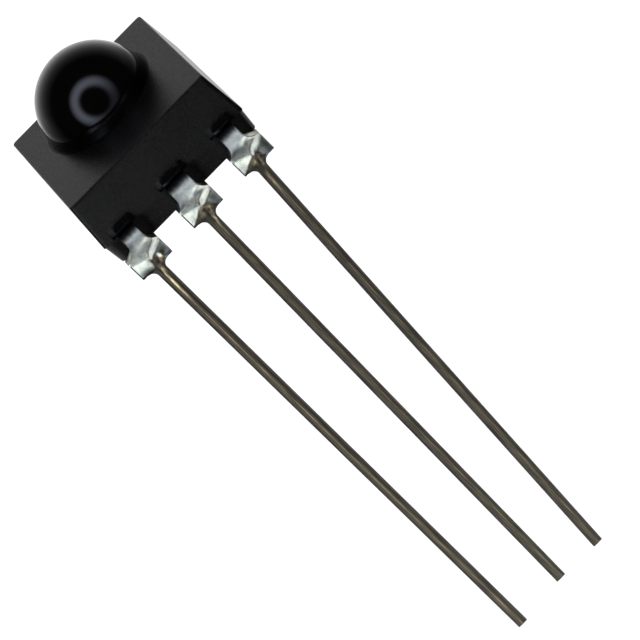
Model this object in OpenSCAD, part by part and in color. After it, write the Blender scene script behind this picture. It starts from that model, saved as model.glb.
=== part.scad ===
// Infrared receiver module: a black resin body with a domed lens, moulded round three bent leads.
// Origin: the middle pin's centre line, where it meets the top of the board.
// +Z points out through the lens, the pins run along -Z, +X runs along the row of leads,
// and the face that the leads leave looks along -Y.

/* [Body] */
// Width of the front face, which carries the lens
face_w = 6.56; // [6:0.01:8]
// Height of the front face, from the lead side to the far side
face_h = 6.95; // [6.5:0.01:8]
// Depth of the front half of the moulding, from the parting plane to the front face
front_d = 2.0; // [1.2:0.01:3]
// Depth of the rear half of the moulding, from the parting plane to the back
back_d = 0.98; // [0.6:0.01:2]
// Draft of the walls of both halves, in degrees
draft = 5.1; // [1:0.1:8]
// How far the rear half stands in from the front half at the parting plane
mould_step = 0.03; // [0:0.01:0.1]
// Corner radius of the front half
front_corner_r = 0.12; // [0.05:0.01:0.4]
// Corner radius of the rear half
back_corner_r = 0.22; // [0.05:0.01:0.5]

/* [Lens] */
// Radius of the lens dome
lens_r = 2.2; // [1.5:0.01:2.6]
// How far the dome's centre stands in front of the face
lens_lift = 0.12; // [0:0.01:0.4]
// Radius of the skirt where it meets the face
skirt_r = 2.28; // [1.6:0.01:2.8]
// Height of the skirt above the face
skirt_h = 0.4; // [0.2:0.01:0.8]
// Distance from the far side of the front face to the lens axis
lens_drop = 2.64; // [2.2:0.01:3.5]

/* [Leads] */
// Distance between neighbouring leads
pitch = 2.54; // [2.3:0.01:2.8]
// Thickness of the lead frame's sheet
lead_t = 0.4; // [0.2:0.01:0.5]
// Inside radius of the bend below the body
bend_r = 0.2; // [0.1:0.01:0.4]
// Gap between the pins and the body's lower face, at the parting plane
pin_gap = 0.62; // [0.4:0.01:1.2]
// Height of the body's back above the board
stand_off = 0.42; // [0.3:0.01:1]
// Width of the shoulder that stops the lead at the board
shoulder_w = 1.45; // [1.2:0.01:1.7]
// Height of the shoulder
shoulder_h = 0.85; // [0.6:0.01:1]
// Width of the middle lead's neck
ground_neck_w = 0.93; // [0.6:0.01:1.1]
// Width of a side lead's neck
side_neck_w = 0.72; // [0.5:0.01:0.9]
// How far a side lead's neck stands in towards the middle lead
side_neck_in = 0.09; // [0:0.01:0.2]
// Radius of the flare from the neck to the shoulder
flare_r = 0.5; // [0.3:0.01:0.6]

/* [Lead exits] */
// Room beside the neck in the recess where a lead leaves the body
exit_side = 0.2; // [0.05:0.01:0.3]
// Room in front of the lead in that recess
exit_front = 0.22; // [0.1:0.01:0.4]
// Depth of that recess
exit_depth = 0.14; // [0.05:0.01:0.3]
// Corner radius of that recess
exit_corner_r = 0.14; // [0.05:0.01:0.2]

/* [Pins] */
// Width of a pin
pin_w = 0.42; // [0.35:0.01:0.6]
// Radius between the shoulder and the pin
root_r = 0.32; // [0.1:0.01:0.4]
// Length of the output pin below the board's top
pin_l = 22.0; // [10:0.05:26]
// How much shorter the ground and supply pins are cut
pin_trim = 0.25; // [0:0.05:2]
// Sideways lean of the output pin at its tip
out_lean = -0.34; // [-1.3:0.01:1.3]
// Sideways lean of the ground pin at its tip
ground_lean = -0.6; // [-1.3:0.01:1.3]
// Sideways lean of the supply pin at its tip
supply_lean = -1.21; // [-1.3:0.01:1.3]

/* [Lead frame inside the body] */
// Width of the pad that carries the chips
pad_w = 3.0; // [2.4:0.01:3.2]
// Length of the pad beyond the lens axis
pad_beyond = 1.15; // [1:0.01:1.6]
// Length of the pad on the lead side of the receiver chip
pad_below = 0.9; // [0.6:0.01:1.1]
// Width of a side lead's bonding post
post_w = 0.95; // [0.8:0.01:1.1]
// How far a post reaches past the middle of the receiver chip
post_past = 0.45; // [0.2:0.01:0.8]

/* [Chips] */
// Side of the square photodiode chip
diode_s = 1.6; // [1:0.01:1.9]
// Width of the receiver chip
chip_w = 1.2; // [0.9:0.01:1.6]
// Length of the receiver chip
chip_l = 0.95; // [0.7:0.01:1]
// Thickness of both chips
chip_t = 0.28; // [0.15:0.01:0.4]
// Gap between the two chips
chip_gap = 0.35; // [0.2:0.01:0.45]
// Thickness of the glue under a chip
glue_t = 0.03; // [0.02:0.005:0.05]

/* [Bond wires] */
// Diameter of a bond wire
wire_d = 0.03; // [0.02:0.005:0.05]
// Height of a wire's loop above the chips
loop_h = 0.2; // [0.1:0.01:0.4]
// Distance of a bond from the edge of its chip
bond_in = 0.12; // [0.08:0.01:0.2]
// Radius of the ball where a wire starts
ball_r = 0.045; // [0.03:0.005:0.06]
// Height of that ball
ball_h = 0.03; // [0.02:0.005:0.05]

/* [Hidden] */
$fn = 64;

// Height of the thin slabs that a drafted half is hulled from
slab = 0.01;
// Sides of a bond wire's section, and steps along its arch
wire_sides = 6;
wire_steps = 8;

// Planes along Z
part_z = stand_off + back_d;
face_z = part_z + front_d;
lead_front_z = part_z + lead_t / 2;
lead_back_z = part_z - lead_t / 2;
chip_z = lead_front_z + glue_t;
bond_z = chip_z + chip_t;

// Planes along Y, at the parting plane unless they say face
low_y = lead_t / 2 + pin_gap;
face_low_y = low_y + front_d * tan(draft);
face_high_y = face_low_y + face_h;
high_y = face_high_y + front_d * tan(draft);
part_w = face_w + 2 * front_d * tan(draft);

// Places along Y of what lies inside the body
lens_y = face_high_y - lens_drop;
chip_y = lens_y - diode_s / 2 - chip_gap - chip_l / 2;
pad_low_y = chip_y - chip_l / 2 - pad_below;
pad_high_y = lens_y + pad_beyond;
post_high_y = chip_y + post_past;

// Bonds on the receiver chip, near its four edges
chip_left = [-chip_w / 2 + bond_in, chip_y, bond_z];
chip_right = [chip_w / 2 - bond_in, chip_y, bond_z];
chip_near = [0, chip_y - chip_l / 2 + bond_in, bond_z];
chip_far = [0, chip_y + chip_l / 2 - bond_in, bond_z];

// Radius of the dome where it leaves the skirt
skirt_top_r = sqrt(lens_r * lens_r - pow(skirt_h - lens_lift, 2));

// Middle of a side lead's neck, measured from the middle lead
side_neck_x = pitch - side_neck_in;

// The bend's axis and outside radius
bend_y = lead_t / 2 + bend_r;
bend_z = lead_back_z - bend_r;
bend_out_r = bend_r + lead_t;

// One half of the moulding: a block that tapers with the draft from its base at z = 0
module drafted_half(w, y_low, y_high, d, r) {
    inset = d * tan(draft);
    hull()
        for (level = [[0, 0], [d - slab, inset]])
            for (x = [-1, 1], y = [y_low + level[1] + r, y_high - level[1] - r])
                translate([x * (w / 2 - level[1] - r), y, level[0]])
                    cylinder(r = r, h = slab, $fn = 32);
}

// The lens: a dome on a short tapered skirt
module lens() {
    translate([0, lens_y, face_z]) {
        translate([0, 0, -slab])
            cylinder(r1 = skirt_r, r2 = skirt_top_r, h = skirt_h + slab);
        translate([0, 0, lens_lift])
            sphere(r = lens_r);
    }
}

// Outline of an exit recess, seen from the lead side, with its two front corners rounded
module exit_outline(w) {
    front = lead_t + exit_front;
    translate([-w / 2, 0])
        square([w, front - exit_corner_r]);
    translate([-w / 2 + exit_corner_r, 0])
        square([w - 2 * exit_corner_r, front]);
    for (x = [-1, 1])
        translate([x * (w / 2 - exit_corner_r), front - exit_corner_r])
            circle(r = exit_corner_r);
}

// Recess in the lower face round the neck of one lead
module exit_recess(neck_x, neck_w) {
    translate([neck_x, low_y + exit_depth, lead_back_z])
        rotate([90, 0, 0])
            linear_extrude(height = low_y + exit_depth)
                exit_outline(neck_w + 2 * exit_side);
}

module body() {
    color("#2b2b2c")
        difference() {
            union() {
                translate([0, 0, part_z])
                    drafted_half(part_w, low_y, high_y, front_d, front_corner_r);
                translate([0, 0, part_z])
                    mirror([0, 0, 1])
                        drafted_half(part_w - 2 * mould_step, low_y + mould_step,
                            high_y - mould_step, back_d, back_corner_r);
                lens();
            }
            exit_recess(0, ground_neck_w);
            exit_recess(-side_neck_x, side_neck_w);
            exit_recess(side_neck_x, side_neck_w);
            output_lead();
            ground_lead();
            supply_lead();
            photodiode_glue();
            photodiode_chip();
            receiver_glue();
            receiver_chip();
            photodiode_wire();
            output_wire();
            ground_wire();
            supply_wire();
        }
}

// Height of the flare whose foot is step wide
function flare_rise(step) = step < flare_r ? sqrt(flare_r * flare_r - pow(flare_r - step, 2)) : flare_r;

// Flare on one side of the neck: edge_x is the neck's side, and side is -1 or 1
module flare(edge_x, step, side) {
    rise = flare_rise(step);
    translate([edge_x, shoulder_h])
        mirror([side < 0 ? 1 : 0, 0])
            difference() {
                square([step, rise]);
                translate([flare_r, rise])
                    circle(r = flare_r);
            }
}

// Fillet between the shoulder and one side of the pin
module root_fillet(side) {
    translate([side * (pin_w / 2 + root_r), -root_r])
        difference() {
            translate([side < 0 ? 0 : -root_r, 0])
                square(root_r);
            circle(r = root_r);
        }
}

// Flat outline of a lead outside the body: X along the row, Y up towards the lens
module lead_outline(neck_x, neck_w, length, lean) {
    left_x = neck_x - neck_w / 2;
    right_x = neck_x + neck_w / 2;
    translate([left_x, 0])
        square([neck_w, lead_front_z]);
    translate([-shoulder_w / 2, 0])
        square([shoulder_w, shoulder_h]);
    flare(left_x, left_x + shoulder_w / 2, -1);
    flare(right_x, shoulder_w / 2 - right_x, 1);
    for (side = [-1, 1])
        root_fillet(side);
    polygon([
        [-pin_w / 2, 0],
        [pin_w / 2, 0],
        [pin_w / 2, -root_r],
        [pin_w / 2 + lean, -length],
        [-pin_w / 2 + lean, -length],
        [-pin_w / 2, -root_r],
    ]);
}

// Side view of a lead outside the body, as a strip bent through a right angle: X is depth, Y is height
module bent_strip(length) {
    translate([-lead_t / 2, -length])
        square([lead_t, length + bend_z]);
    translate([bend_y, bend_z])
        intersection() {
            difference() {
                circle(r = bend_out_r);
                circle(r = bend_r);
            }
            translate([-bend_out_r, 0])
                square(bend_out_r);
        }
    translate([bend_y, lead_back_z])
        square([low_y + exit_depth - bend_y, lead_t]);
}

// A lead outside the body: the bent strip cut to the lead's outline
module outer_lead(neck_x, neck_w, length, lean) {
    reach = shoulder_w + 2 * abs(lean);
    intersection() {
        translate([-reach / 2, 0, 0])
            rotate([90, 0, 90])
                linear_extrude(height = reach)
                    bent_strip(length);
        translate([0, high_y, 0])
            rotate([90, 0, 0])
                linear_extrude(height = high_y + lead_t)
                    lead_outline(neck_x, neck_w, length, lean);
    }
}

// Flat part of the frame inside the body, between the lead's two faces
module inner_sheet() {
    translate([0, 0, lead_back_z])
        linear_extrude(height = lead_t)
            children();
}

// Inside part of a side lead: the neck and the post that its wire is bonded to
module side_sheet(side) {
    inner_sheet()
        translate([side * side_neck_x, 0]) {
            translate([-side_neck_w / 2, low_y + exit_depth])
                square([side_neck_w, pad_low_y - low_y - exit_depth]);
            translate([-post_w / 2, pad_low_y])
                square([post_w, post_high_y - pad_low_y]);
        }
}

module output_lead() {
    color("silver") {
        translate([-pitch, 0, 0])
            outer_lead(side_neck_in, side_neck_w, pin_l, out_lean);
        side_sheet(-1);
    }
}

module ground_lead() {
    color("silver") {
        outer_lead(0, ground_neck_w, pin_l - pin_trim, ground_lean);
        inner_sheet() {
            translate([-ground_neck_w / 2, low_y + exit_depth])
                square([ground_neck_w, pad_low_y - low_y - exit_depth]);
            translate([-pad_w / 2, pad_low_y])
                square([pad_w, pad_high_y - pad_low_y]);
        }
    }
}

module supply_lead() {
    color("silver") {
        translate([pitch, 0, 0])
            outer_lead(-side_neck_in, side_neck_w, pin_l - pin_trim, supply_lean);
        side_sheet(1);
    }
}

// A flat block on the frame, centred on a place along Y
module on_pad(w, l, y, z, t) {
    translate([-w / 2, y - l / 2, z])
        cube([w, l, t]);
}

module photodiode_glue() {
    color("gainsboro") on_pad(diode_s, diode_s, lens_y, lead_front_z, glue_t);
}

module photodiode_chip() {
    color("midnightblue") on_pad(diode_s, diode_s, lens_y, chip_z, chip_t);
}

module receiver_glue() {
    color("gainsboro") on_pad(chip_w, chip_l, chip_y, lead_front_z, glue_t);
}

module receiver_chip() {
    color("slategray") on_pad(chip_w, chip_l, chip_y, chip_z, chip_t);
}

// Ring of points round a wire: c is its centre, along runs up the wire, and across is level
function wire_ring(c, along, across, r) =
    let (normal = cross(across, along))
    [for (i = [0 : wire_sides - 1])
        c + r * (cos(i * 360 / wire_sides) * normal + sin(i * 360 / wire_sides) * across)];

// Centre of a wire's arch, from its ball's top to its other end, at an angle of 0 to 180
function arch_point(from, to, a) = from + (to - from) * (1 - cos(a)) / 2 + [0, 0, loop_h * sin(a)];

// Direction of the arch at that angle
function arch_way(from, to, a) =
    let (v = (to - from) * sin(a) / 2 + [0, 0, loop_h * cos(a)])
    v / norm(v);

// A bond wire from its ball at one place to its other end, each given as [x, y, z] on a metal face
module bond_wire(from, to) {
    up = [0, 0, 1];
    top = from + ball_h * up;
    level = [to[0] - from[0], to[1] - from[1], 0];
    across = cross(up, level) / norm(level);
    rings = concat(
        [wire_ring(from, up, across, ball_r), wire_ring(top, up, across, ball_r)],
        [for (i = [0 : wire_steps])
            let (a = i * 180 / wire_steps)
            wire_ring(arch_point(top, to, a), arch_way(top, to, a), across, wire_d / 2)]
    );
    n = wire_sides;
    last = len(rings) - 1;
    color("gold")
        polyhedron(
            points = [for (ring = rings) each ring],
            faces = concat(
                [[for (i = [0 : n - 1]) i]],
                [[for (i = [0 : n - 1]) last * n + n - 1 - i]],
                [for (k = [0 : last - 1], i = [0 : n - 1])
                    [k * n + i, (k + 1) * n + i, (k + 1) * n + (i + 1) % n]],
                [for (k = [0 : last - 1], i = [0 : n - 1])
                    [k * n + i, (k + 1) * n + (i + 1) % n, k * n + (i + 1) % n]]
            ),
            convexity = 4
        );
}

module photodiode_wire() {
    bond_wire([0, lens_y - diode_s / 2 + bond_in, bond_z], chip_far);
}

module output_wire() {
    bond_wire(chip_left, [-side_neck_x, chip_y, lead_front_z]);
}

module ground_wire() {
    bond_wire(chip_near, [0, pad_low_y + pad_below / 2, lead_front_z]);
}

module supply_wire() {
    bond_wire(chip_right, [side_neck_x, chip_y, lead_front_z]);
}

body();
output_lead();
ground_lead();
supply_lead();
photodiode_glue();
photodiode_chip();
receiver_glue();
receiver_chip();
photodiode_wire();
output_wire();
ground_wire();
supply_wire();
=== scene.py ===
import math

import bmesh
import bpy
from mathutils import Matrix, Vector, noise

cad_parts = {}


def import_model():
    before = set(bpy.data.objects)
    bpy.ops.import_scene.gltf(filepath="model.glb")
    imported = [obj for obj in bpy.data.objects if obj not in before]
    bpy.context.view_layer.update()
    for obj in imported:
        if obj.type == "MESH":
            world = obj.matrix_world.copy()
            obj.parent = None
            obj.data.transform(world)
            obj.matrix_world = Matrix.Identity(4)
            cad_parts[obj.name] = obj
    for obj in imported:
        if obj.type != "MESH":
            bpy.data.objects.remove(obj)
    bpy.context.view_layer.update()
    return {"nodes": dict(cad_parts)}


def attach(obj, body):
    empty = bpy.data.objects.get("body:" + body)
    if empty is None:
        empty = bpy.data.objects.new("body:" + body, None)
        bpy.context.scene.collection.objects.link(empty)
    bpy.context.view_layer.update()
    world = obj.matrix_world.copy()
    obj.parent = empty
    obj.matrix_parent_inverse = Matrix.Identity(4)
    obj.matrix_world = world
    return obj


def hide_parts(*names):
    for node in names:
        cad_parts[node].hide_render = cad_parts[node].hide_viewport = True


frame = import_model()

# Looks of an infrared receiver module. The row frame is the part's own: metres, +Z out through the lens,
# pins along -Z, and the lower face looks along -Y. Sizes below are in millimetres, as in the part's source.

MM = 0.001

# Body
FACE_W, FACE_H = 6.56, 6.95
FRONT_D, BACK_D = 2.0, 0.98
DRAFT = math.tan(math.radians(5.1))
MOULD_STEP = 0.03
FRONT_R, BACK_R = 0.12, 0.22
EDGE_R = 0.045
FLAT_BAND = 0.05
LENS_R, LENS_LIFT = 2.2, 0.12
SKIRT_R, SKIRT_H = 2.28, 0.34
FOOT_R = 0.03
LENS_DROP = 2.64

# Leads
PITCH, LEAD_T, BEND_R, PIN_GAP, STAND_OFF = 2.54, 0.4, 0.2, 0.62, 0.42
SHOULDER_W, SHOULDER_H = 1.45, 0.85
GROUND_NECK_W, SIDE_NECK_W, SIDE_NECK_IN = 0.93, 0.72, 0.09
FLARE_R, ROOT_R, PIN_W = 0.5, 0.32, 0.43
EXIT_SIDE, EXIT_FRONT, EXIT_DEPTH, EXIT_R = 0.2, 0.22, 0.14, 0.14
PIN_L = {"output": 22.0, "ground": 21.77, "supply": 21.84}
# How far each pin's middle stands to the side at its root and at its tip
LEANS = {"output": (-0.02, -0.315), "ground": (-0.038, -0.613), "supply": (-0.07, -1.23)}

# Chips and pads
PAD_W, PAD_BEYOND, PAD_BELOW, POST_W, POST_PAST = 3.0, 1.15, 0.9, 0.95, 0.45
DIODE_S, CHIP_L, CHIP_GAP = 1.6, 0.95, 0.35

# Planes and places worked out from the sizes
PART_Z = STAND_OFF + BACK_D
FACE_Z = PART_Z + FRONT_D
BACK_Z = STAND_OFF
LEAD_BACK_Z = PART_Z - LEAD_T / 2
LOW_Y = LEAD_T / 2 + PIN_GAP
FACE_LOW_Y = LOW_Y + FRONT_D * DRAFT
FACE_HIGH_Y = FACE_LOW_Y + FACE_H
HIGH_Y = FACE_HIGH_Y + FRONT_D * DRAFT
PART_W = FACE_W + 2 * FRONT_D * DRAFT
LENS_Y = FACE_HIGH_Y - LENS_DROP
CHIP_Y = LENS_Y - DIODE_S / 2 - CHIP_GAP - CHIP_L / 2
PAD_LOW_Y = CHIP_Y - CHIP_L / 2 - PAD_BELOW
PAD_HIGH_Y = LENS_Y + PAD_BEYOND
POST_HIGH_Y = CHIP_Y + POST_PAST
BEND_Y = LEAD_T / 2 + BEND_R
BEND_Z = LEAD_BACK_Z - BEND_R
BEND_MID_R = BEND_R + LEAD_T / 2
SKIRT_TOP_R = math.sqrt(LENS_R ** 2 - (SKIRT_H - LENS_LIFT) ** 2)

# Camera: fitted to the photograph
CAMERA_AT = Vector((1.932, -123.305, 66.919)) * MM
CAMERA_TURN = [math.radians(a) for a in (49.506, 38.124, -26.916)]
CAMERA_LENS = 225.0
# Direction from the body to the camera, and the picture's right and down as seen from the body
TO_CAMERA = Vector((0.0135, -0.8967, 0.4426)).normalized()
PICTURE_RIGHT = Vector((0.7015, -0.3561, -0.6174))
DOWN_PINS = Vector((0.0, -0.4426, -0.8967))
RING_DIM = Vector((0.596, -0.397, -0.698))
BODY_MIDDLE = Vector((0.0, 4.5, 2.5)) * MM


# ---------------------------------------------------------------- helpers

def smooth(low, high, x):
    """0 below low, 1 above high, and a soft step between them."""
    t = min(1.0, max(0.0, (x - low) / (high - low)))
    return t * t * (3 - 2 * t)


def rough_noise(x, y, z):
    """Soft noise from -1 to 1 at a place."""
    return noise.noise(Vector((x, y, z)))


def new_object(name, mesh):
    made = bpy.data.objects.new(name, mesh)
    bpy.context.scene.collection.objects.link(made)
    return made


def finish_mesh(name, bm, sharp_deg):
    """The mesh in metres from a bmesh in millimetres, smooth but for edges sharper than sharp_deg."""
    bmesh.ops.recalc_face_normals(bm, faces=bm.faces)
    bmesh.ops.scale(bm, vec=(MM, MM, MM), verts=bm.verts)
    mesh = bpy.data.meshes.new(name)
    bm.to_mesh(mesh)
    bm.free()
    mesh.polygons.foreach_set("use_smooth", [True] * len(mesh.polygons))
    mesh.set_sharp_from_angle(angle=math.radians(sharp_deg))
    return mesh


# ---------------------------------------------------------------- nodes

class Nodes:
    """Short way to write a node tree: each method adds one node and returns its output."""

    def __init__(self, tree):
        self.tree = tree
        tree.nodes.clear()

    def add(self, kind, **values):
        node = self.tree.nodes.new(kind)
        for key, value in values.items():
            setattr(node, key, value)
        return node

    def plug(self, socket, value):
        if isinstance(value, bpy.types.NodeSocket):
            self.tree.links.new(value, socket)
        elif isinstance(value, tuple) and len(value) == 3 and socket.type == "RGBA":
            socket.default_value = (*value, 1.0)
        else:
            socket.default_value = value

    def place(self):
        """Place on the object, in millimetres."""
        coords = self.add("ShaderNodeTexCoord").outputs["Object"]
        return self.scaled(coords, (1 / MM, 1 / MM, 1 / MM))

    def scaled(self, vector, by):
        node = self.add("ShaderNodeVectorMath", operation="MULTIPLY")
        self.plug(node.inputs[0], vector)
        node.inputs[1].default_value = by
        return node.outputs[0]

    def split(self, vector):
        node = self.add("ShaderNodeSeparateXYZ")
        self.plug(node.inputs[0], vector)
        return node.outputs

    def math(self, operation, a, b=None):
        node = self.add("ShaderNodeMath", operation=operation)
        self.plug(node.inputs[0], a)
        if b is not None:
            self.plug(node.inputs[1], b)
        return node.outputs[0]

    def noise(self, vector, scale, detail=3.0, rough=0.5):
        node = self.add("ShaderNodeTexNoise")
        self.plug(node.inputs["Vector"], vector)
        node.inputs["Scale"].default_value = scale
        node.inputs["Detail"].default_value = detail
        node.inputs["Roughness"].default_value = rough
        return node.outputs["Fac"]

    def range(self, value, low, high, out_low=0.0, out_high=1.0):
        node = self.add("ShaderNodeMapRange", interpolation_type="SMOOTHSTEP")
        self.plug(node.inputs["Value"], value)
        node.inputs["From Min"].default_value = low
        node.inputs["From Max"].default_value = high
        node.inputs["To Min"].default_value = out_low
        node.inputs["To Max"].default_value = out_high
        return node.outputs["Result"]

    def mix(self, factor, a, b):
        node = self.add("ShaderNodeMix", data_type="RGBA")
        self.plug(node.inputs[0], factor)
        self.plug(node.inputs[6], a)
        self.plug(node.inputs[7], b)
        return node.outputs[2]

    def ramp(self, value, stops):
        node = self.add("ShaderNodeValToRGB")
        self.plug(node.inputs[0], value)
        marks = node.color_ramp.elements
        while len(marks) < len(stops):
            marks.new(0.5)
        for mark, (at, level) in zip(marks, stops):
            mark.position = at
            mark.color = (level, level, level, 1.0)
        return node.outputs[0]

    def mark(self, name):
        return self.add("ShaderNodeAttribute", attribute_name=name).outputs["Fac"]

    def bump(self, height, strength, distance, over=None):
        node = self.add("ShaderNodeBump")
        if over is not None:
            self.plug(node.inputs["Normal"], over)
        self.plug(node.inputs["Height"], height)
        node.inputs["Strength"].default_value = strength
        node.inputs["Distance"].default_value = distance * MM
        return node.outputs["Normal"]

    def surface(self, **values):
        """The principled shader and the output, with values by socket name, underscores for spaces."""
        shader = self.add("ShaderNodeBsdfPrincipled")
        for key, value in values.items():
            self.plug(shader.inputs[key.replace("_", " ")], value)
        self.out(shader.outputs[0])

    def out(self, shader):
        self.plug(self.add("ShaderNodeOutputMaterial").inputs["Surface"], shader)


def material(name):
    made = bpy.data.materials.new(name)
    made.use_nodes = True
    return made, Nodes(made.node_tree)


def matte_resin():
    made, n = material("matte_resin")
    place = n.place()
    cloud = n.noise(place, 0.9, 3.0)
    grain = n.noise(place, 34.0, 2.0, 0.6)
    low = n.range(n.split(place)[2], 1.42, 1.1)
    black = n.mix(n.range(cloud, 0.35, 0.65), (0.005, 0.0047, 0.0043), (0.0078, 0.0073, 0.0066))
    colour = n.mix(low, black, (0.004, 0.003, 0.002))
    across, _, up = n.split(n.add("ShaderNodeTexCoord").outputs["Normal"])
    # Faces looking out along +Z, the front face most, are painted lighter: a painted sheen.
    colour = n.mix(n.range(up, 0.6, 0.9), colour, (0.0105, 0.0098, 0.009))
    side = n.math("ABSOLUTE", across)
    rough = n.math("ADD", n.range(grain, 0.3, 0.7, 0.2, 0.29), n.range(side, 0.9, 0.98, 0.0, 0.04))
    n.surface(
        Base_Color=colour, Roughness=rough, IOR=1.55, Specular_IOR_Level=0.285,
        Normal=n.bump(grain, 0.45, 0.012),
    )
    return made


def polished_resin():
    made, n = material("polished_resin")
    place = n.place()
    cloud = n.noise(place, 1.4, 2.0)
    colour = n.mix(n.range(cloud, 0.35, 0.65), (0.0026, 0.0018, 0.0012), (0.0036, 0.0026, 0.0018))
    n.surface(
        Base_Color=colour, Roughness=n.range(cloud, 0.3, 0.7, 0.09, 0.11), IOR=1.55,
        Normal=n.bump(cloud, 0.05, 0.01),
    )
    return made


def satin_resin():
    made, n = material("satin_resin")
    cloud = n.noise(n.place(), 2.0, 2.0)
    n.surface(
        Base_Color=n.mix(n.range(cloud, 0.35, 0.65), (0.0015, 0.0013, 0.0012), (0.0025, 0.0022, 0.002)),
        Roughness=n.range(cloud, 0.3, 0.7, 0.25, 0.31), IOR=1.55, Specular_IOR_Level=0.07,
    )
    return made


def lead_metal():
    """Tin plate, browned and dull along the pins. Marks are painted on the mesh: dull; gold, the coppery tint,
    which down the pins' middles is partly a painted highlight; shade, painted shading on recesses, edges and
    facets that fall dark; bright, on necks, flare edges and facets that catch the lamps; and lean, a height in
    millimetres that turns the neck's face and the gold marks a little to the left."""
    made, n = material("tinned_lead")
    place = n.place()
    mottle = n.noise(n.scaled(place, (1.0, 1.0, 0.8)), 5.0, 4.0, 0.6)
    streak = n.noise(n.scaled(place, (16.0, 16.0, 0.7)), 1.0, 4.0, 0.6)
    dull, gold, shade, bright = (n.mark(k) for k in ("dull", "gold", "shade", "bright"))

    tin = n.mix(n.range(mottle, 0.3, 0.7), (0.60, 0.66, 0.62), (0.76, 0.82, 0.77))
    # Painted highlight: necks, flare edges and facets that catch the lamps are painted near white.
    tin = n.mix(bright, tin, (0.96, 1.0, 0.86))
    # Painted shading: the necks' turn into the recesses, the shoulders' edges and facets that fall dark are
    # painted near black.
    tin = n.mix(shade, tin, (0.05, 0.053, 0.05))
    brown = n.mix(n.range(streak, 0.35, 0.65), (0.048, 0.041, 0.028), (0.135, 0.117, 0.084))
    fleck = n.noise(place, 9.0, 3.0, 0.6)
    tin = n.mix(n.range(fleck, 0.42, 0.68, 0.0, 0.22), tin, (0.2, 0.21, 0.2))
    colour = n.mix(dull, tin, brown)
    # Coppery tint where the plating is worn; down the pins' middles it is partly a painted highlight.
    colour = n.mix(gold, colour, (0.95, 0.79, 0.47))
    _, depth, height = n.split(place)
    neck = n.range(height, 0.9, 1.15)
    pale = n.math("MULTIPLY", n.math("MULTIPLY", bright, neck), n.math("SUBTRACT", 0.15, n.math("MULTIPLY", shade, 0.15)))
    matte = n.math("MULTIPLY", dull, n.math("SUBTRACT", 0.6, n.math("MULTIPLY", gold, 0.6)))
    pale = n.math("MAXIMUM", pale, matte)
    rough = n.math("ADD", n.range(mottle, 0.3, 0.7, 0.27, 0.35), n.math("MULTIPLY", dull, 0.15))
    rough = n.math("ADD", rough, n.math("MULTIPLY", neck, 0.13))
    rough = n.math("SUBTRACT", rough, n.math("MULTIPLY", gold, 0.1))
    rough = n.math("SUBTRACT", rough, n.math("MULTIPLY", n.range(depth, 0.1, 0.35), 0.33))
    n.surface(
        Base_Color=colour, Metallic=n.math("SUBTRACT", 1.0, pale), Roughness=rough,
        Normal=n.bump(n.math("ADD", fleck, streak), 0.3, 0.008, n.bump(n.mark("lean"), 1.0, 1.0)),
    )
    return made


# ---------------------------------------------------------------- body

def outline(width, y_low, y_high, r, z, steps=8):
    """Corners of a rounded rectangle at height z, anticlockwise seen from +Z."""
    points = []
    centres = [
        (width / 2 - r, y_low + r, -90), (width / 2 - r, y_high - r, 0),
        (-width / 2 + r, y_high - r, 90), (-width / 2 + r, y_low + r, 180),
    ]
    for cx, cy, start in centres:
        for i in range(-1, steps + 2):
            a = math.radians(start + 90 * min(max(i, 0), steps) / steps)
            on = FLAT_BAND * ((i > steps) - (i < 0))
            points.append((cx + r * math.cos(a) - on * math.sin(a), cy + r * math.sin(a) + on * math.cos(a), z))
    return points


def body_levels():
    """(z, how far the outline stands in, whether it is the rear half) from the back to the front face."""
    levels = []
    edge_steps = 4
    for i in range(edge_steps + 1):
        a = math.radians(90 - 90 * i / edge_steps)
        depth = BACK_D - EDGE_R + EDGE_R * math.sin(a)
        levels.append((PART_Z - depth, depth * DRAFT + EDGE_R * (1 - math.cos(a)), True))
    depth = BACK_D - EDGE_R - FLAT_BAND
    levels.append((PART_Z - depth, depth * DRAFT, True))
    levels.append((PART_Z, 0.0, True))
    levels.append((PART_Z, 0.0, False))
    depth = FRONT_D - EDGE_R - FLAT_BAND
    levels.append((PART_Z + depth, depth * DRAFT, False))
    for i in range(edge_steps + 1):
        a = math.radians(90 * i / edge_steps)
        depth = FRONT_D - EDGE_R + EDGE_R * math.sin(a)
        levels.append((PART_Z + depth, depth * DRAFT + EDGE_R * (1 - math.cos(a)), False))
    levels.append((PART_Z + FRONT_D, FRONT_D * DRAFT + EDGE_R + FLAT_BAND, False))
    levels.insert(0, (PART_Z - BACK_D, BACK_D * DRAFT + EDGE_R + FLAT_BAND, True))
    return levels


def ring_faces(bm, a, b):
    """Faces between two rings of as many vertices."""
    count = len(a)
    return [bm.faces.new((a[i], a[(i + 1) % count], b[(i + 1) % count], b[i])) for i in range(count)]


def recess_cutter():
    """One mesh of three blocks, for the recesses round the necks."""
    bm = bmesh.new()
    side_x = PITCH - SIDE_NECK_IN
    for x, neck_w in ((-side_x, SIDE_NECK_W), (0.0, GROUND_NECK_W), (side_x, SIDE_NECK_W)):
        half = neck_w / 2 + EXIT_SIDE
        top = LEAD_BACK_Z + LEAD_T + EXIT_FRONT
        profile = [(-half, PART_Z), (half, PART_Z)]
        for cx, start in ((half - EXIT_R, 0), (-half + EXIT_R, 90)):
            for i in range(9):
                a = math.radians(start + 90 * i / 8)
                profile.append((cx + EXIT_R * math.cos(a), top - EXIT_R + EXIT_R * math.sin(a)))
        near = [bm.verts.new((x + px, LOW_Y - 0.5, pz)) for px, pz in profile]
        far = [bm.verts.new((x + px, LOW_Y + EXIT_DEPTH, pz)) for px, pz in profile]
        ring_faces(bm, near, far)
        bm.faces.new(near[::-1])
        bm.faces.new(far)
    return new_object("recess_cutter", finish_mesh("recess_cutter", bm, 30))


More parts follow.
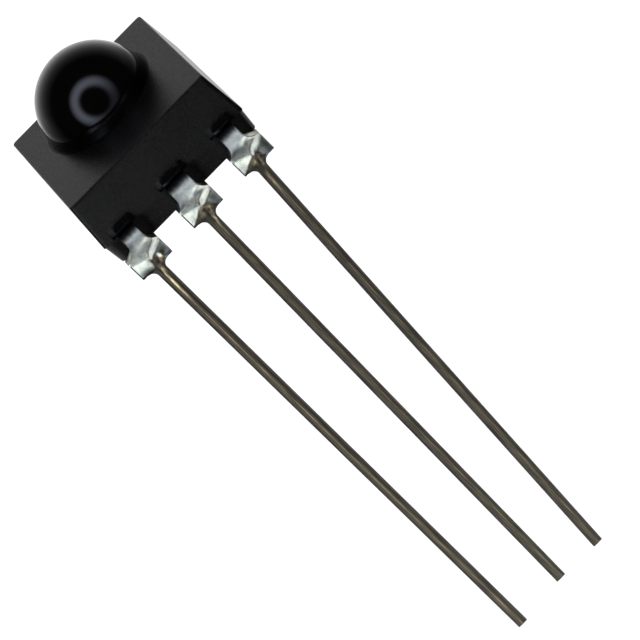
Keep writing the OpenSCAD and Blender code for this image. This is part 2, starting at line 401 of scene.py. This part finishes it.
def cut(obj, cutter):
    """Takes the cutter's solid out of obj's mesh, and deletes the cutter."""
    step = obj.modifiers.new("cut", "BOOLEAN")
    step.operation = "DIFFERENCE"
    step.solver = "EXACT"
    step.object = cutter
    bpy.context.view_layer.update()
    shaped = bpy.data.meshes.new_from_object(obj.evaluated_get(bpy.context.evaluated_depsgraph_get()))
    obj.modifiers.clear()
    obj.data = shaped
    bpy.data.objects.remove(cutter)


def resin_body():
    """The moulding: both drafted halves with their edges rounded, the skirt and the polished dome."""
    bm = bmesh.new()
    rings = []
    for z, inset, rear in body_levels():
        step = MOULD_STEP if rear else 0.0
        r = BACK_R if rear else FRONT_R
        rings.append([
            bm.verts.new(p) for p in
            outline(PART_W - 2 * (step + inset), LOW_Y + step + inset, HIGH_Y - step - inset, r, z)
        ])
    bm.faces.new(rings[0][::-1])
    for a, b in zip(rings, rings[1:]):
        ring_faces(bm, a, b)

    segments = 144
    lean = math.degrees(math.atan((SKIRT_R - SKIRT_TOP_R) / SKIRT_H))
    foot = SKIRT_R + FOOT_R / math.tan(math.radians(45 + lean / 2))
    profile = [(foot + FLAT_BAND, FACE_Z)]
    for i in range(6):
        a = math.radians(270 - (90 - lean) * i / 5)
        profile.append((foot + FOOT_R * math.cos(a), FACE_Z + FOOT_R + FOOT_R * math.sin(a)))
    start = math.asin((SKIRT_H - LENS_LIFT) / LENS_R)
    dome_steps = 50
    for i in range(dome_steps):
        a = start + (math.pi / 2 - start) * i / dome_steps
        profile.append((LENS_R * math.cos(a), FACE_Z + LENS_LIFT + LENS_R * math.sin(a)))
    lens = []
    for r, z in profile:
        ring = []
        for k in range(segments):
            a = 2 * math.pi * k / segments - math.pi / 2
            ring.append(bm.verts.new((r * math.cos(a), LENS_Y + r * math.sin(a), z)))
        lens.append(ring)
    pole = bm.verts.new((0.0, LENS_Y, FACE_Z + LENS_LIFT + LENS_R))
    skirt, polished = [], []
    for a, b in zip(lens[:7], lens[1:8]):
        skirt += ring_faces(bm, a, b)
    for a, b in zip(lens[7:], lens[8:]):
        polished += ring_faces(bm, a, b)
    for i in range(segments):
        polished.append(bm.faces.new((lens[-1][i], lens[-1][(i + 1) % segments], pole)))
    for face in polished:
        face.material_index = 1
    for face in skirt:
        face.material_index = 2

    def loop_edges(ring):
        return [bm.edges.get((ring[i], ring[(i + 1) % len(ring)])) for i in range(len(ring))]

    front = bmesh.ops.bridge_loops(bm, edges=loop_edges(rings[-1]) + loop_edges(lens[0]))["faces"]
    for face in front:
        face.material_index = 0
    obj = new_object("resin_body", finish_mesh("resin_body", bm, 25))
    for made in (matte_resin(), polished_resin(), satin_resin()):
        obj.data.materials.append(made)
    cut(obj, recess_cutter())
    obj.data.set_sharp_from_angle(angle=math.radians(25))
    return obj


# ---------------------------------------------------------------- leads

def edge_of_neck(z, neck_edge, shoulder_edge):
    """Distance of a lead's side from the lead's middle at height z above the shoulder's underside."""
    if z <= SHOULDER_H:
        return shoulder_edge
    step = shoulder_edge - neck_edge
    rise = math.sqrt(FLARE_R ** 2 - (FLARE_R - step) ** 2)
    below = SHOULDER_H + rise - z
    if below <= 0:
        return neck_edge
    return neck_edge + FLARE_R - math.sqrt(max(0.0, FLARE_R ** 2 - below ** 2))


def lead_stations(neck_off, neck_w, length, leans, inner):
    """Rows along a lead from its tip to its inner end: (y, z, front normal's y and z, left, right)."""
    rows = []
    half_pin = PIN_W / 2
    half_shoulder = SHOULDER_W / 2
    root_lean, tip_lean = leans

    def upright(z, left, right):
        rows.append((0.0, z, -1.0, 0.0, left, right))

    count = int((length - ROOT_R) / 0.16)
    for i in range(count):
        z = -length + (length - ROOT_R) * i / count
        shift = root_lean + (tip_lean - root_lean) * (-z - ROOT_R) / (length - ROOT_R)
        upright(z, shift - half_pin, shift + half_pin)
    for i in range(9):
        z = -ROOT_R + ROOT_R * i / 8
        half = half_pin + ROOT_R - math.sqrt(max(0.0, ROOT_R ** 2 - (z + ROOT_R) ** 2))
        upright(z, root_lean - half, root_lean + half)
    steps = 40
    for i in range(steps + 1):
        z = BEND_Z * i / steps
        left = edge_of_neck(z, neck_w / 2 - neck_off, half_shoulder)
        right = edge_of_neck(z, neck_w / 2 + neck_off, half_shoulder)
        upright(z, -left, right)
    steps = 24
    for i in range(1, steps + 1):
        a = math.pi / 2 * i / steps
        z = BEND_Z + (BEND_MID_R + LEAD_T / 2) * math.sin(a)
        left = edge_of_neck(z, neck_w / 2 - neck_off, half_shoulder)
        right = edge_of_neck(z, neck_w / 2 + neck_off, half_shoulder)
        rows.append((
            BEND_Y - BEND_MID_R * math.cos(a), BEND_Z + BEND_MID_R * math.sin(a),
            -math.cos(a), math.sin(a), -left, right,
        ))
    left, right = neck_off - neck_w / 2, neck_off + neck_w / 2
    for y in (0.55, LOW_Y, LOW_Y + EXIT_DEPTH, PAD_LOW_Y):
        rows.append((y, PART_Z, 0.0, 1.0, left, right))
    end_y, left, right = inner
    rows.append((PAD_LOW_Y, PART_Z, 0.0, 1.0, left, right))
    rows.append((end_y, PART_Z, 0.0, 1.0, left, right))
    return rows


FRONT_POINTS = 40
BACK_POINTS = 6
CORNER_STEPS = 3


def section(left, right, edge):
    """Points of a lead's section as (x, height from the middle, 1 on the front, 0 elsewhere)."""
    points = []
    half = LEAD_T / 2

    def corner(cx, ch, start):
        for i in range(1, CORNER_STEPS):
            a = math.radians(start - 90 * i / CORNER_STEPS)
            points.append((cx + edge * math.cos(a), ch + edge * math.sin(a), 0.0))

    for i in range(FRONT_POINTS + 1):
        points.append((left + edge + (right - left - 2 * edge) * i / FRONT_POINTS, half, 1.0))
    corner(right - edge, half - edge, 90)
    for i in range(3):
        points.append((right, half - edge - (LEAD_T - 2 * edge) * i / 2, 0.0))
    corner(right - edge, -half + edge, 0)
    for i in range(BACK_POINTS + 1):
        points.append((right - edge - (right - left - 2 * edge) * i / BACK_POINTS, -half, 0.0))
    corner(left + edge, -half + edge, -90)
    for i in range(3):
        points.append((left, -half + edge + (LEAD_T - 2 * edge) * i / 2, 0.0))
    corner(left + edge, half - edge, 180)
    return points


def spot(x, z, cx, cz, rx, rz, turn=0.0):
    """1 in the middle of a soft oval mark, 0 outside it."""
    c, s = math.cos(math.radians(turn)), math.sin(math.radians(turn))
    u = ((x - cx) * c + (z - cz) * s) / rx
    v = (-(x - cx) * s + (z - cz) * c) / rz
    return math.exp(-(u * u + v * v) ** 1.5)


# The brown arch over each pin's root: x and z of its top, and how steeply it falls to the left and right
ARCHES = {"output": (0.1, 0.36, 1.5, 1.2), "ground": (0.02, 0.47, 0.62, 0.95), "supply": (-0.04, 0.42, 0.6, 1.0)}

# Where a light line runs down the middle of each pin: worn plating, partly a painted highlight along its crown
WEAR_AND_HIGHLIGHT_X = {"output": -0.015, "ground": 0.03, "supply": 0.02}

# How steeply each neck's face leans to the left
LEAN = {"output": 0.1, "ground": 0.22, "supply": 0.24}

# Marks on each lead, in millimetres from its middle at the shoulder's underside:
# kind, x, z, half width, half height, turn in degrees, strength
# Painted shading marks darken facets and corners that fall dark, painted highlight marks lighten facets that
# catch the lamps, and the gold streaks down the pins are partly a painted highlight.
MARKS = {
    "output": [
        ("bright", 0.1, 0.52, 0.35, 0.14, 14, 0.8),
        ("bright", -0.5, 0.54, 0.2, 0.14, -10, 0.35),
        ("shade", -0.35, 1.3, 0.25, 0.35, 0, 0.6),
        ("bright", 0.45, 0.7, 0.3, 0.07, 30, 0.7),
        ("shade", 0.06, 0.86, 0.32, 0.16, -12, 0.45),
        ("shade", -0.38, 0.05, 0.5, 0.2, -6, 1.0),
        ("gold", 0.0, 0.2, 0.25, 0.13, 0, 0.2),
        ("shade", -0.1, 0.24, 0.15, 0.12, 0, 0.5),
        ("shade", 0.55, 0.28, 0.2, 0.32, 20, 0.75),
        ("dull", 0.08, 0.14, 0.09, 0.12, 0, 1.0),
        ("shade", 0.08, 0.15, 0.07, 0.1, 0, 0.9),
        ("gold", 0.27, 0.11, 0.08, 0.14, -30, 1.0),
        ("gold", 0.04, 0.2, 0.05, 0.13, -15, 0.6),
        ("gold", 0.14, 0.33, 0.14, 0.05, -15, 0.6),
        ("gold", 0.0, -0.95, 0.05, 0.8, 0, 0.95),
        ("gold", 0.03, -0.1, 0.06, 0.3, 10, 0.7),
    ],
    "ground": [
        ("bright", -0.42, 0.46, 0.3, 0.22, -25, 0.4),
        ("bright", 0.3, 0.62, 0.42, 0.2, 27, 1.0),
        ("shade", 0.0, 0.86, 0.5, 0.17, 0, 0.28),
        ("shade", -0.4, 1.3, 0.22, 0.25, 0, 0.45),
        ("gold", 0.0, 0.22, 0.3, 0.16, 0, 0.25),
        ("shade", -0.4, 0.1, 0.3, 0.12, 30, 0.7),
        ("shade", -0.2, 0.22, 0.16, 0.12, 30, 0.7),
        ("shade", 0.58, 0.26, 0.18, 0.3, 0, 0.5),
        ("gold", 0.15, 0.19, 0.17, 0.075, -45, 1.0),
        ("gold", 0.16, 0.0, 0.035, 0.15, -15, 0.8),
        ("gold", -0.05, 0.36, 0.16, 0.05, 35, 0.6),
        ("gold", 0.06, -0.45, 0.045, 0.7, 0, 0.7),
    ],
    "supply": [
        ("bright", -0.35, 0.4, 0.35, 0.25, -25, 0.7),
        ("bright", 0.3, 0.62, 0.4, 0.14, 27, 0.5),
        ("bright", 0.42, 0.95, 0.22, 0.14, 30, 0.9),
        ("shade", -0.2, 0.88, 0.36, 0.16, 0, 0.5),
        ("gold", 0.0, 0.2, 0.3, 0.18, 0, 0.25),
        ("shade", -0.45, 0.04, 0.25, 0.09, 20, 0.9),
        ("shade", 0.62, 0.35, 0.15, 0.4, 0, 0.75),
        ("shade", 0.2, 0.16, 0.1, 0.14, 0, 0.5),
        ("gold", -0.1, 0.14, 0.13, 0.05, 30, 0.5),
        ("gold", 0.02, 0.3, 0.1, 0.06, 30, 0.5),
        ("gold", 0.1, 0.06, 0.05, 0.22, -15, 0.9),
        ("gold", -0.02, -0.9, 0.05, 0.5, 0, 0.45),
    ],
}


def marks_at(kind, x, depth, z, edge_gap, seed):
    """The four marks at a place on a lead's outside: dull, gold, shade and bright."""
    wobble = 0.03 * rough_noise(x * 7, z * 7, seed)
    top_x, top_z, left_fall, right_fall = ARCHES[kind]
    aside = x - top_x
    roof = top_z - (right_fall * aside if aside > 0 else -left_fall * aside) + wobble
    dull = max(smooth(0.03, -0.05, z - roof), smooth(0.0, -0.12, z + 0.1 * abs(x)))
    # Painted highlight along the flares' rounded edges, where they catch light.
    painted_rim_highlight = smooth(0.07, 0.02, edge_gap) * smooth(0.76, 0.84, z) * smooth(1.6, 1.2, z)
    # Painted highlight on the neck above its arch, where the bend catches the lamps.
    neck = smooth(-0.03, 0.05, z - (1.1 - 0.7 * x * x) - wobble)
    # Painted shading where the neck turns back into the body's recess.
    painted_recess_shade = smooth(-0.14, 0.26, depth + 2 * wobble)
    # Painted shading along the shoulders' side edges.
    side = smooth(0.05, 0.02, edge_gap) * smooth(0.0, 0.1, z) * smooth(0.8, 0.7, z)
    # The light line down each pin's middle, kept in the gold mark: worn plating, partly a painted highlight.
    wear_and_highlight = 0.0
    if z < -ROOT_R:
        for aside, share in ((0.0, 0.6), (0.055, 0.25), (-0.07, 0.15)):
            broken = 0.4 + 0.6 * smooth(-0.3, 0.3, rough_noise(3.0 + 40 * aside, z * 1.1, seed + 9))
            wear_and_highlight = max(wear_and_highlight, share * broken * math.exp(-((x - WEAR_AND_HIGHLIGHT_X[kind] - aside) / 0.017) ** 2))
    found = {"dull": dull, "gold": wear_and_highlight, "shade": max(painted_recess_shade, 0.8 * side), "bright": max(0.8 * painted_rim_highlight, neck)}
    found["lean"] = LEAN[kind] * x * smooth(0.85, 1.2, z)
    for mark, cx, cz, rx, rz, turn, strength in MARKS[kind]:
        broken = 1.0
        if mark == "gold":
            broken = 0.4 + 0.6 * smooth(-0.25, 0.15, rough_noise(x * 16, z * 6, seed + 3))
            found["lean"] += 0.14 * strength * (x - cx) * spot(x, z, cx, cz, 1.6 * rx, 1.6 * rz, turn)
        found[mark] = max(found[mark], strength * broken * spot(x, z, cx, cz, rx, rz, turn))
    return found


def front_relief(x, z, upright):
    """How far the front face of a lead stands back, in millimetres, at a place on it."""
    if z < -ROOT_R:
        side = min(1.0, abs(x) / (PIN_W / 2))
        return 0.025 * side ** 1.4
    left = min(1.0, max(0.0, (0.48 - 0.375 * x - z) / 0.04)) * (0.01 + 0.1 * max(0.0, -x))
    band = 0.26 + 0.16 * smooth(0.0, 0.25, x)
    below = 0.54 + 0.11 * smooth(0.0, 0.15, x) + 0.5 * x - z
    right = 0.3 * band * (0.35 * smooth(0.0, band, below) + 0.65 * min(1.0, max(0.0, below / band)))
    share = smooth(-0.06, 0.06, x)
    return (left * (1 - share) + right * share) * upright * smooth(-0.05, 0.1, z + 0.05)


def lead(kind, cx, neck_off, neck_w, inner):
    """One stamped and bent lead, replaced whole: pin, shoulder, flare, neck, bend and the sheet inside."""
    seed = 11.0 * cx + 40.0
    bm = bmesh.new()
    marks = {k: bm.verts.layers.float.new(k) for k in ("dull", "gold", "shade", "bright", "lean")}
    rows = lead_stations(neck_off, neck_w, PIN_L[kind], LEANS[kind], inner)
    rings = []
    for y, z, ny, nz, left, right in rows:
        in_pin = z < -ROOT_R
        edge = 0.06 if in_pin else 0.04
        ring = []
        shift = (left + right) / 2 if in_pin else 0.0
        for x, h, front in section(left, right, edge):
            near = x - shift
            surface_z = z + nz * h
            outside = y < 0.7
            if front and outside:
                h -= front_relief(near, surface_z, 1.0 - nz)
                h += 0.003 * (rough_noise(near * 4, surface_z * 4, seed) - 1.0)
            v = bm.verts.new((cx + x, y + ny * h, z + nz * h))
            if outside:
                for mark, value in marks_at(
                        kind, near, y + ny * h, surface_z, min(x - left, right - x), seed).items():
                    v[marks[mark]] = value
            ring.append(v)
        rings.append(ring)
    for a, b in zip(rings, rings[1:]):
        ring_faces(bm, a, b)
    bm.faces.new(rings[0][::-1])
    bm.faces.new(rings[-1])
    return new_object(f"{kind}_lead_plated", finish_mesh(f"{kind}_lead_plated", bm, 40))


def leads():
    metal = lead_metal()
    side_x = SIDE_NECK_IN
    made = {
        "output": lead("output", -PITCH, side_x, SIDE_NECK_W,
                       (POST_HIGH_Y, side_x - POST_W / 2, side_x + POST_W / 2)),
        "ground": lead("ground", 0.0, 0.0, GROUND_NECK_W,
                       (PAD_HIGH_Y, -PAD_W / 2, PAD_W / 2)),
        "supply": lead("supply", PITCH, -side_x, SIDE_NECK_W,
                       (POST_HIGH_Y, -side_x - POST_W / 2, -side_x + POST_W / 2)),
    }
    for kind, obj in made.items():
        obj.data.materials.append(metal)
        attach(obj, "root")
        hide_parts(f"{kind}_lead")


# ---------------------------------------------------------------- inner pieces

def speckled(name, dark, pale, scale, metallic, rough):
    """A material of two tones in grains, for the small pieces inside the body."""
    made, n = material(name)
    place = n.place()
    grain = n.noise(place, scale, 3.0, 0.6)
    n.surface(
        Base_Color=n.mix(n.range(grain, 0.4, 0.6), dark, pale), Metallic=metallic,
        Roughness=n.range(grain, 0.3, 0.7, rough * 0.8, rough * 1.2), Normal=n.bump(grain, 0.2, 0.004),
    )
    return made


def chip_face(name, ground, lines, cell):
    """Polished silicon with a plain grid of metal lines."""
    made, n = material(name)
    place = n.place()
    bricks = n.add("ShaderNodeTexBrick")
    n.plug(bricks.inputs["Vector"], place)
    n.plug(bricks.inputs["Color1"], ground)
    n.plug(bricks.inputs["Color2"], tuple(1.4 * c for c in ground))
    n.plug(bricks.inputs["Mortar"], lines)
    bricks.inputs["Scale"].default_value = 1.0
    bricks.inputs["Mortar Size"].default_value = cell * 0.06
    bricks.inputs["Brick Width"].default_value = cell
    bricks.inputs["Row Height"].default_value = cell * 0.7
    n.surface(Base_Color=bricks.outputs["Color"], Roughness=n.range(n.noise(place, 3.0), 0.3, 0.7, 0.12, 0.2))
    return made


def inner_pieces():
    glue = speckled("die_glue", (0.42, 0.42, 0.43), (0.7, 0.7, 0.71), 60.0, 0.6, 0.5)
    gold = speckled("gold_wire", (0.78, 0.55, 0.2), (0.9, 0.68, 0.3), 40.0, 1.0, 0.22)
    diode = chip_face("photodiode_silicon", (0.03, 0.04, 0.11), (0.3, 0.3, 0.34), 1.5)
    receiver = chip_face("receiver_silicon", (0.2, 0.21, 0.24), (0.62, 0.62, 0.6), 0.22)
    nodes = frame["nodes"]
    for names, made in (
        (("photodiode_glue", "receiver_glue"), glue),
        (("photodiode_wire", "output_wire", "ground_wire", "supply_wire"), gold),
        (("photodiode_chip",), diode),
        (("receiver_chip",), receiver),
    ):
        for name in names:
            nodes[name].data.materials.clear()
            nodes[name].data.materials.append(made)


# ---------------------------------------------------------------- studio

FLOOR_Z = -45.0
RING_AT, RING_OFF, RING_IN, RING_OUT = 150.0, 9.75, 23.0, 52.0
RING_CUT = 33.5
RING_GLOW = 2.0
SHADE_R = 300.0
# Strength of the surround against the cosine of its angle from the camera's far side
SURROUND = ((0.0, 0.012), (0.05, 0.015), (0.28, 0.12), (0.445, 0.26), (0.62, 0.52), (0.8, 0.9), (0.9, 1.0))


def basis():
    """Two directions square to the camera's, the first towards the pins."""
    down = (DOWN_PINS - DOWN_PINS.dot(TO_CAMERA) * TO_CAMERA).normalized()
    return down, TO_CAMERA.cross(down).normalized()


def ring_light():
    """A flat ring of light round the camera's line, cut straight on the side of the pins."""
    down, across = basis()
    bm = bmesh.new()
    inner, outer = [], []
    count = 128
    r_in = RING_AT * math.tan(math.radians(RING_IN))
    r_out = RING_AT * math.tan(math.radians(RING_OUT))
    r_cut = RING_AT * math.tan(math.radians(RING_CUT))
    for i in range(count):
        a = 2 * math.pi * i / count
        reach = r_out
        if math.cos(a) > 0:
            reach = min(reach, r_cut / math.cos(a))
        way = math.cos(a) * down + math.sin(a) * across
        centre = BODY_MIDDLE / MM + RING_AT * TO_CAMERA - RING_OFF * PICTURE_RIGHT
        inner.append(bm.verts.new(centre + r_in * way))
        outer.append(bm.verts.new(centre + max(reach, r_in + 2) * way))
    ring_faces(bm, inner, outer)
    obj = new_object("ring_light", finish_mesh("ring_light", bm, 30))
    made, n = material("ring_glow")
    centre = BODY_MIDDLE + (RING_AT * TO_CAMERA - RING_OFF * PICTURE_RIGHT) * MM
    offset = n.add("ShaderNodeVectorMath", operation="SUBTRACT")
    n.plug(offset.inputs[0], n.add("ShaderNodeNewGeometry").outputs["Position"])
    offset.inputs[1].default_value = centre
    reach = n.add("ShaderNodeVectorMath", operation="LENGTH")
    n.plug(reach.inputs[0], offset.outputs[0])
    reach = n.math("DIVIDE", reach.outputs["Value"], RING_AT * MM)
    side = n.add("ShaderNodeVectorMath", operation="DOT_PRODUCT")
    n.plug(side.inputs[0], offset.outputs[0])
    side.inputs[1].default_value = RING_DIM.normalized() / (RING_AT * MM)
    side = n.math("DIVIDE", side.outputs["Value"], reach)
    t_in, t_mid, t_out = (math.tan(math.radians(a)) for a in (RING_IN, 36.0, RING_OUT))
    rise = n.range(reach, t_in, t_mid)
    fall = n.range(reach, t_out, t_mid)
    strength = n.math("MULTIPLY", n.math("MULTIPLY", rise, fall), n.range(side, 1.25, -0.5, 0.08, 1.0))
    node = n.add("ShaderNodeEmission")
    n.plug(node.inputs["Color"], (0.76, 0.81, 1.0))
    n.plug(node.inputs["Strength"], n.math("MULTIPLY", strength, RING_GLOW))
    n.out(node.outputs[0])
    obj.data.materials.append(made)
    obj.visible_camera = False


def studio_shade():
    """A dark shell on the camera's side, which pales into a white surround behind the object."""
    down, across = basis()
    bm = bmesh.new()
    rings = []
    end, rows, count = 150.0, 50, 64
    for k in range(1, rows + 1):
        a = math.radians(end * k / rows)
        ring = []
        for i in range(count):
            b = 2 * math.pi * i / count
            way = math.cos(a) * TO_CAMERA + math.sin(a) * (math.cos(b) * down + math.sin(b) * across)
            ring.append(bm.verts.new(BODY_MIDDLE / MM + SHADE_R * way))
        rings.append(ring)
    bm.faces.new(rings[0])
    for a, b in zip(rings, rings[1:]):
        ring_faces(bm, a, b)
    obj = new_object("studio_shade", finish_mesh("studio_shade", bm, 30))
    made, n = material("studio_shade")
    along = n.add("ShaderNodeVectorMath", operation="DOT_PRODUCT")
    n.plug(along.inputs[0], n.add("ShaderNodeNewGeometry").outputs["Position"])
    along.inputs[1].default_value = TO_CAMERA / (SHADE_R * MM)
    glow = n.add("ShaderNodeEmission")
    white = n.ramp(n.math("MULTIPLY", along.outputs["Value"], -1.0), SURROUND)
    place = n.split(n.scaled(n.add("ShaderNodeNewGeometry").outputs["Position"], (1 / (SHADE_R * MM),) * 3))
    aside = n.range(n.math("ABSOLUTE", place[0]), 0.45, 0.7)
    n.plug(glow.inputs["Strength"], n.math("MULTIPLY", white, n.math(
        "SUBTRACT", 1.0, n.math("MULTIPLY", n.math("MULTIPLY", aside, n.range(place[2], 0.1, -0.15)), 0.5))))
    n.out(glow.outputs[0])
    obj.data.materials.append(made)
    obj.visible_camera = False


def soft_panel(name, way, distance, width, height, radiance, colour):
    """A soft lamp that looks at the body. Its power follows from the radiance and its size."""
    lamp = bpy.data.lights.new(name, "AREA")
    lamp.shape = "RECTANGLE"
    lamp.size, lamp.size_y = width * MM, height * MM
    lamp.energy = radiance * math.pi * lamp.size * lamp.size_y
    lamp.color = colour
    obj = bpy.data.objects.new(name, lamp)
    bpy.context.scene.collection.objects.link(obj)
    way = Vector(way).normalized()
    obj.location = BODY_MIDDLE + distance * MM * way
    obj.rotation_euler = way.to_track_quat("Z", "Y").to_euler()
    obj.visible_camera = False


def floor():
    bm = bmesh.new()
    corners = [(-75, -30), (75, -30), (75, 230), (-75, 230)]
    bm.faces.new([bm.verts.new((x, y, FLOOR_Z)) for x, y in corners])
    obj = new_object("floor", finish_mesh("floor", bm, 30))
    made, n = material("pale_floor")
    place = n.place()
    diffuse = n.add("ShaderNodeBsdfDiffuse")
    n.plug(diffuse.inputs["Color"], n.mix(n.noise(place, 0.05), (0.86, 0.86, 0.86), (0.9, 0.9, 0.9)))
    glow = n.add("ShaderNodeEmission")
    path = n.add("ShaderNodeLightPath")
    seen = n.math("ADD", path.outputs["Is Camera Ray"], path.outputs["Is Glossy Ray"])
    seen = n.math("ADD", seen, path.outputs["Is Transmission Ray"])
    n.plug(glow.inputs["Strength"], n.math("MULTIPLY", seen, 0.95))
    both = n.add("ShaderNodeAddShader")
    n.plug(both.inputs[0], diffuse.outputs[0])
    n.plug(both.inputs[1], glow.outputs[0])
    n.out(both.outputs[0])
    obj.data.materials.append(made)


def world():
    made = bpy.data.worlds.new("studio")
    bpy.context.scene.world = made
    made.use_nodes = True
    tree = made.node_tree
    tree.nodes.clear()
    back = tree.nodes.new("ShaderNodeBackground")
    back.inputs["Color"].default_value = (1, 1, 1, 1)
    back.inputs["Strength"].default_value = 1.0
    out = tree.nodes.new("ShaderNodeOutputWorld")
    tree.links.new(back.outputs[0], out.inputs[0])


def camera():
    data = bpy.data.cameras.new("camera")
    data.sensor_width = 36.0
    data.lens = CAMERA_LENS
    data.clip_start, data.clip_end = 0.005, 5.0
    obj = bpy.data.objects.new("camera", data)
    bpy.context.scene.collection.objects.link(obj)
    obj.location = CAMERA_AT
    obj.rotation_mode = "XYZ"
    obj.rotation_euler = CAMERA_TURN
    bpy.context.scene.camera = obj


# ---------------------------------------------------------------- put together

body = resin_body()
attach(body, "root")
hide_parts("body")
leads()
inner_pieces()
floor()
world()
studio_shade()
ring_light()
soft_panel("left_panel", (-0.42, -0.80, -0.42), 200.0, 130.0, 80.0, 2.5, (0.97, 0.99, 1.0))
camera()
bpy.context.scene.view_settings.view_transform = "Standard"
